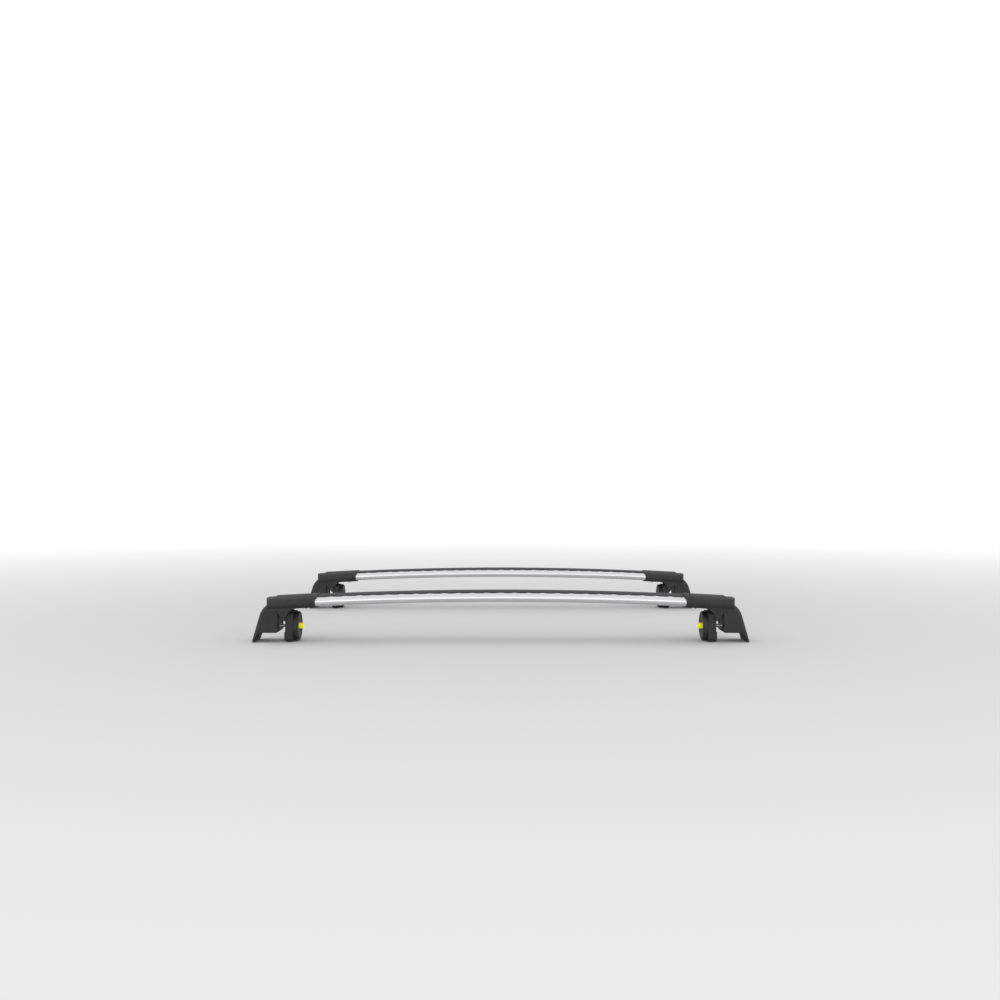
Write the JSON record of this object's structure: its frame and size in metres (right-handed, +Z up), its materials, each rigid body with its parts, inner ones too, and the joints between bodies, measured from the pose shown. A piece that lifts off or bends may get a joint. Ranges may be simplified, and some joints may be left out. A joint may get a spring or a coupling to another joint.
{
  "type": "pair of roof crossbars",
  "caption": "Pair of arched aluminium roof crossbars with rubber-topped aero section and black screw-clamp feet for raised roof rails.",
  "frame": {"origin": "ground under the middle of the pair, at the height of the feet's lowest points", "axes": "+X along the bars to the right seen from the front, +Y towards the rear, +Z up"},
  "size_m": [1.1578, 0.8362, 0.1201],
  "materials": {
    "bar_aluminium": "satin anodised extrusion",
    "strip_rubber": "matt black rubber",
    "foot_plastic": "grained black moulding",
    "pad_rubber": "matt black rubber",
    "zinc_steel": "zinc-plated steel",
    "yellow_plastic": "bright yellow moulding"
  },
  "bodies": {
    "frame": {"front_bar": "bar_aluminium", "front_strip": "strip_rubber", "front_left_tower": "foot_plastic", "front_left_outer_cover": "foot_plastic", "front_left_saddle_pad": "pad_rubber", "front_left_barrel_nut": "zinc_steel", "front_left_bar_screws": "zinc_steel", "front_right_tower": "foot_plastic", "front_right_outer_cover": "foot_plastic", "front_right_saddle_pad": "pad_rubber", "front_right_barrel_nut": "zinc_steel", "front_right_bar_screws": "zinc_steel", "rear_bar": "bar_aluminium", "rear_strip": "strip_rubber", "rear_left_tower": "foot_plastic", "rear_left_outer_cover": "foot_plastic", "rear_left_saddle_pad": "pad_rubber", "rear_left_barrel_nut": "zinc_steel", "rear_left_bar_screws": "zinc_steel", "rear_right_tower": "foot_plastic", "rear_right_outer_cover": "foot_plastic", "rear_right_saddle_pad": "pad_rubber", "rear_right_barrel_nut": "zinc_steel", "rear_right_bar_screws": "zinc_steel"},
    "front_left_jaw": {"front_left_inner_jaw": "foot_plastic", "front_left_jaw_pad": "pad_rubber", "front_left_jaw_disc": "foot_plastic", "front_left_thrust_washer": "zinc_steel"},
    "front_left_screw": {"front_left_clamp_screw": "zinc_steel", "front_left_drive_cap": "yellow_plastic"},
    "front_right_jaw": {"front_right_inner_jaw": "foot_plastic", "front_right_jaw_pad": "pad_rubber", "front_right_jaw_disc": "foot_plastic", "front_right_thrust_washer": "zinc_steel"},
    "front_right_screw": {"front_right_clamp_screw": "zinc_steel", "front_right_drive_cap": "yellow_plastic"},
    "rear_left_jaw": {"rear_left_inner_jaw": "foot_plastic", "rear_left_jaw_pad": "pad_rubber", "rear_left_jaw_disc": "foot_plastic", "rear_left_thrust_washer": "zinc_steel"},
    "rear_left_screw": {"rear_left_clamp_screw": "zinc_steel", "rear_left_drive_cap": "yellow_plastic"},
    "rear_right_jaw": {"rear_right_inner_jaw": "foot_plastic", "rear_right_jaw_pad": "pad_rubber", "rear_right_jaw_disc": "foot_plastic", "rear_right_thrust_washer": "zinc_steel"},
    "rear_right_screw": {"rear_right_clamp_screw": "zinc_steel", "rear_right_drive_cap": "yellow_plastic"}
  },
  "joints": [
    {"name": "front_left_jaw_slide", "type": "slide", "parent": "frame", "child": "front_left_jaw", "axis": [-1, 0, 0], "range_m": [-0.00375, 0.0125]},
    {"name": "front_left_screw_turn", "type": "hinge", "parent": "front_left_jaw", "child": "front_left_screw", "pos_m": [-0.478, -0.375, 0.0355], "axis": [-1, 0, 0], "range_deg": [-1080, 3600]},
    {"name": "front_right_jaw_slide", "type": "slide", "parent": "frame", "child": "front_right_jaw", "axis": [1, 0, 0], "range_m": [-0.00375, 0.0125]},
    {"name": "front_right_screw_turn", "type": "hinge", "parent": "front_right_jaw", "child": "front_right_screw", "pos_m": [0.478, -0.375, 0.0355], "axis": [1, 0, 0], "range_deg": [-1080, 3600]},
    {"name": "rear_left_jaw_slide", "type": "slide", "parent": "frame", "child": "rear_left_jaw", "axis": [-1, 0, 0], "range_m": [-0.00375, 0.0125]},
    {"name": "rear_left_screw_turn", "type": "hinge", "parent": "rear_left_jaw", "child": "rear_left_screw", "pos_m": [-0.478, 0.375, 0.0355], "axis": [-1, 0, 0], "range_deg": [-1080, 3600]},
    {"name": "rear_right_jaw_slide", "type": "slide", "parent": "frame", "child": "rear_right_jaw", "axis": [1, 0, 0], "range_m": [-0.00375, 0.0125]},
    {"name": "rear_right_screw_turn", "type": "hinge", "parent": "rear_right_jaw", "child": "rear_right_screw", "pos_m": [0.478, 0.375, 0.0355], "axis": [1, 0, 0], "range_deg": [-1080, 3600]}
  ],
  "couplings": [
    {"joint": "front_left_screw_turn", "follows": "front_left_jaw_slide", "rad_per_m": 5026.5},
    {"joint": "front_right_screw_turn", "follows": "front_right_jaw_slide", "rad_per_m": 5026.5},
    {"joint": "rear_left_screw_turn", "follows": "rear_left_jaw_slide", "rad_per_m": 5026.5},
    {"joint": "rear_right_screw_turn", "follows": "rear_right_jaw_slide", "rad_per_m": 5026.5}
  ]
}
